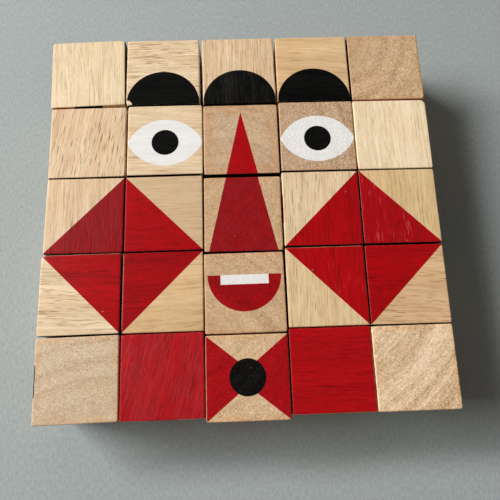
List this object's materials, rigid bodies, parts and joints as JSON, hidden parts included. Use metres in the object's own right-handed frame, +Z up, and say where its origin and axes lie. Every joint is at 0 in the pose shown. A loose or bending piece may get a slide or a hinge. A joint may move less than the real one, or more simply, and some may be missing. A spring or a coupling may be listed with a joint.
{
  "type": "wooden face maker block puzzle",
  "caption": "Loose wooden cubes laid out in a square, printed on every face with parts of a geometric face, to be lifted, turned over and swapped.",
  "frame": {"origin": "middle of the laid-out set's bounding box, on the plane that the blocks stand on", "axes": "+X to the right of the picture on top, +Y to the top of that picture, +Z up, out of the picture"},
  "size_m": [0.205, 0.2052, 0.04],
  "materials": {
    "cream_wood": "sanded, matt clear lacquer, printed on its faces in red, black and white ink",
    "straw_wood": "sanded, matt clear lacquer, printed on its faces in red, black and white ink",
    "honey_wood": "sanded, matt clear lacquer, printed on its faces in red, black and white ink",
    "tan_wood": "sanded, matt clear lacquer, printed on its faces in red, black and white ink",
    "brown_wood": "sanded, matt clear lacquer, printed on its faces in red, black and white ink"
  },
  "bodies": {
    "nose_tip_block": {"nose_tip_block": "brown_wood"},
    "top_left_block": {"top_left_block": "cream_wood"},
    "left_curl_block": {"left_curl_block": "honey_wood"},
    "middle_curl_block": {"middle_curl_block": "tan_wood"},
    "right_curl_block": {"right_curl_block": "straw_wood"},
    "top_right_block": {"top_right_block": "brown_wood"},
    "left_temple_block": {"left_temple_block": "tan_wood"},
    "left_eye_block": {"left_eye_block": "straw_wood"},
    "nose_bridge_block": {"nose_bridge_block": "brown_wood"},
    "right_eye_block": {"right_eye_block": "brown_wood"},
    "right_temple_block": {"right_temple_block": "cream_wood"},
    "left_cheek_top_outer_block": {"left_cheek_top_outer_block": "tan_wood"},
    "left_cheek_top_inner_block": {"left_cheek_top_inner_block": "honey_wood"},
    "right_cheek_top_inner_block": {"right_cheek_top_inner_block": "honey_wood"},
    "right_cheek_top_outer_block": {"right_cheek_top_outer_block": "straw_wood"},
    "left_cheek_low_outer_block": {"left_cheek_low_outer_block": "cream_wood"},
    "left_cheek_low_inner_block": {"left_cheek_low_inner_block": "straw_wood"},
    "mouth_block": {"mouth_block": "brown_wood"},
    "right_cheek_low_inner_block": {"right_cheek_low_inner_block": "cream_wood"},
    "right_cheek_low_outer_block": {"right_cheek_low_outer_block": "honey_wood"},
    "bottom_left_block": {"bottom_left_block": "tan_wood"},
    "left_bow_block": {"left_bow_block": "cream_wood"},
    "bow_knot_block": {"bow_knot_block": "brown_wood"},
    "right_bow_block": {"right_bow_block": "straw_wood"},
    "bottom_right_block": {"bottom_right_block": "tan_wood"}
  },
  "joints": [
    {"name": "top_left_lift", "type": "slide", "parent": "nose_tip_block", "child": "top_left_block", "axis": [0, 0, 1], "range_m": [0, 0.05]},
    {"name": "left_curl_lift", "type": "slide", "parent": "nose_tip_block", "child": "left_curl_block", "axis": [0, 0, 1], "range_m": [0, 0.05]},
    {"name": "middle_curl_lift", "type": "slide", "parent": "nose_tip_block", "child": "middle_curl_block", "axis": [0, 0, 1], "range_m": [0, 0.05]},
    {"name": "right_curl_lift", "type": "slide", "parent": "nose_tip_block", "child": "right_curl_block", "axis": [0, 0, 1], "range_m": [0, 0.05]},
    {"name": "top_right_lift", "type": "slide", "parent": "nose_tip_block", "child": "top_right_block", "axis": [0, 0, 1], "range_m": [0, 0.05]},
    {"name": "left_temple_lift", "type": "slide", "parent": "nose_tip_block", "child": "left_temple_block", "axis": [0, 0, 1], "range_m": [0, 0.05]},
    {"name": "left_eye_lift", "type": "slide", "parent": "nose_tip_block", "child": "left_eye_block", "axis": [0, 0, 1], "range_m": [0, 0.05]},
    {"name": "nose_bridge_lift", "type": "slide", "parent": "nose_tip_block", "child": "nose_bridge_block", "axis": [0, 0, 1], "range_m": [0, 0.05]},
    {"name": "right_eye_lift", "type": "slide", "parent": "nose_tip_block", "child": "right_eye_block", "axis": [0, 0, 1], "range_m": [0, 0.05]},
    {"name": "right_temple_lift", "type": "slide", "parent": "nose_tip_block", "child": "right_temple_block", "axis": [0, 0, 1], "range_m": [0, 0.05]},
    {"name": "left_cheek_top_outer_lift", "type": "slide", "parent": "nose_tip_block", "child": "left_cheek_top_outer_block", "axis": [0, 0, 1], "range_m": [0, 0.05]},
    {"name": "left_cheek_top_inner_lift", "type": "slide", "parent": "nose_tip_block", "child": "left_cheek_top_inner_block", "axis": [0, 0, 1], "range_m": [0, 0.05]},
    {"name": "right_cheek_top_inner_lift", "type": "slide", "parent": "nose_tip_block", "child": "right_cheek_top_inner_block", "axis": [0, 0, 1], "range_m": [0, 0.05]},
    {"name": "right_cheek_top_outer_lift", "type": "slide", "parent": "nose_tip_block", "child": "right_cheek_top_outer_block", "axis": [0, 0, 1], "range_m": [0, 0.05]},
    {"name": "left_cheek_low_outer_lift", "type": "slide", "parent": "nose_tip_block", "child": "left_cheek_low_outer_block", "axis": [0, 0, 1], "range_m": [0, 0.05]},
    {"name": "left_cheek_low_inner_lift", "type": "slide", "parent": "nose_tip_block", "child": "left_cheek_low_inner_block", "axis": [0, 0, 1], "range_m": [0, 0.05]},
    {"name": "mouth_lift", "type": "slide", "parent": "nose_tip_block", "child": "mouth_block", "axis": [0, 0, 1], "range_m": [0, 0.05]},
    {"name": "right_cheek_low_inner_lift", "type": "slide", "parent": "nose_tip_block", "child": "right_cheek_low_inner_block", "axis": [0, 0, 1], "range_m": [0, 0.05]},
    {"name": "right_cheek_low_outer_lift", "type": "slide", "parent": "nose_tip_block", "child": "right_cheek_low_outer_block", "axis": [0, 0, 1], "range_m": [0, 0.05]},
    {"name": "bottom_left_lift", "type": "slide", "parent": "nose_tip_block", "child": "bottom_left_block", "axis": [0, 0, 1], "range_m": [0, 0.05]},
    {"name": "left_bow_lift", "type": "slide", "parent": "nose_tip_block", "child": "left_bow_block", "axis": [0, 0, 1], "range_m": [0, 0.05]},
    {"name": "bow_knot_lift", "type": "slide", "parent": "nose_tip_block", "child": "bow_knot_block", "axis": [0, 0, 1], "range_m": [0, 0.05]},
    {"name": "right_bow_lift", "type": "slide", "parent": "nose_tip_block", "child": "right_bow_block", "axis": [0, 0, 1], "range_m": [0, 0.05]},
    {"name": "bottom_right_lift", "type": "slide", "parent": "nose_tip_block", "child": "bottom_right_block", "axis": [0, 0, 1], "range_m": [0, 0.05]}
  ]
}
